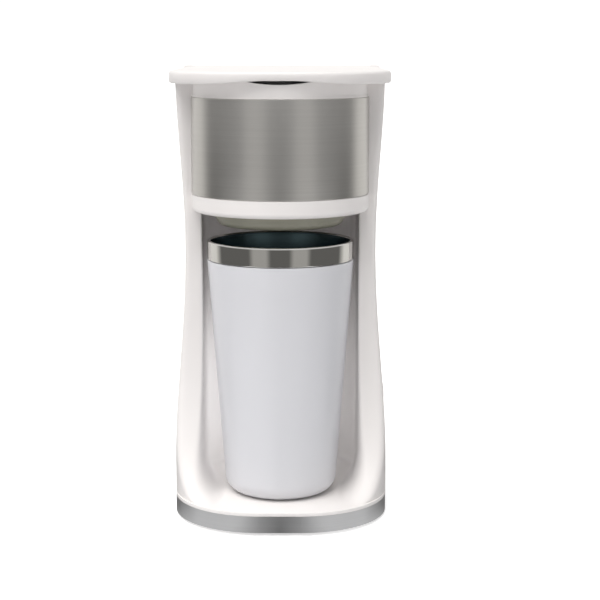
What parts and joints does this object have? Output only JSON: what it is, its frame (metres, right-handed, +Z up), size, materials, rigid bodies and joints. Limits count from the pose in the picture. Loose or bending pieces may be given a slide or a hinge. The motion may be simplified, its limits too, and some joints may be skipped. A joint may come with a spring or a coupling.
{
  "type": "drip coffee maker",
  "caption": "Single serve drip coffee maker with a waisted moulded housing, hinged lid, steel banded brew head and an insulated travel tumbler.",
  "frame": {"origin": "middle of the bounding box, on the surface the feet stand on", "axes": "+Z up, -Y towards the front where the tumbler goes in, +X to the user's right"},
  "size_m": [0.1312, 0.164, 0.271],
  "materials": {
    "housing_white": "satin moulded warm white plastic",
    "basket_grey": "smooth moulded plastic, warm grey",
    "brushed_steel": "stainless steel sheet, brushed sideways",
    "polished_steel": "polished stainless steel",
    "tumbler_white": "smooth powder coat, cool white",
    "dark_plastic": "dark matte plastic",
    "clear_plastic": "smoke grey moulded plastic",
    "pale_plastic": "pale matte plastic",
    "silicone": "soft matte silicone rubber",
    "boiler_metal": "drawn aluminium tube"
  },
  "bodies": {
    "root": {"main_housing": "housing_white", "base_deck": "housing_white", "base_plate": "housing_white", "rear_cover": "housing_white", "rear_cap": "housing_white", "head_shell": "housing_white", "brew_basket": "basket_grey", "base_band": "brushed_steel", "head_band": "brushed_steel", "hinge_pins": "polished_steel", "heating_element": "polished_steel", "heater_bracket": "polished_steel", "hose_clamps": "polished_steel", "base_screws": "polished_steel", "rear_cover_screws": "polished_steel", "filter_mesh": "polished_steel", "switch_housing": "dark_plastic", "switch_bezel": "dark_plastic", "cord_gland": "dark_plastic", "filter_frame": "dark_plastic", "filter_handle": "dark_plastic", "thermostat": "dark_plastic", "water_tank": "clear_plastic", "check_valve_body": "clear_plastic", "riser_tube": "clear_plastic", "terminal_block": "pale_plastic", "thermal_fuses": "pale_plastic", "inlet_hose": "silicone", "outlet_hose": "silicone", "riser_seal": "silicone", "foot_front_left": "silicone", "foot_front_right": "silicone", "foot_rear_left": "silicone", "foot_rear_right": "silicone", "boiler_tube": "boiler_metal"},
    "lid": {"lid_cover": "housing_white", "lid_liner": "housing_white", "water_channel": "clear_plastic", "shower_plate": "pale_plastic"},
    "tumbler": {"tumbler_shell": "tumbler_white", "tumbler_liner": "polished_steel", "tumbler_base_pad": "silicone"},
    "power_button": {"power_button": "housing_white"},
    "valve_ball": {"valve_ball": "polished_steel"}
  },
  "joints": [
    {"name": "lid_hinge", "type": "hinge", "parent": "root", "child": "lid", "pos_m": [0, 0.0645, 0.2665], "axis": [-1, 0, 0], "range_deg": [0, 90]},
    {"name": "tumbler_slide", "type": "slide", "parent": "root", "child": "tumbler", "axis": [0, -1, 0], "range_m": [0, 0.15]},
    {"name": "button_press", "type": "slide", "parent": "root", "child": "power_button", "axis": [-1, 0, 0], "range_m": [0, 0.0018], "stiffness_N_per_m": 600},
    {"name": "valve_lift", "type": "slide", "parent": "root", "child": "valve_ball", "axis": [0, 0, 1], "range_m": [0, 0.0015]}
  ]
}
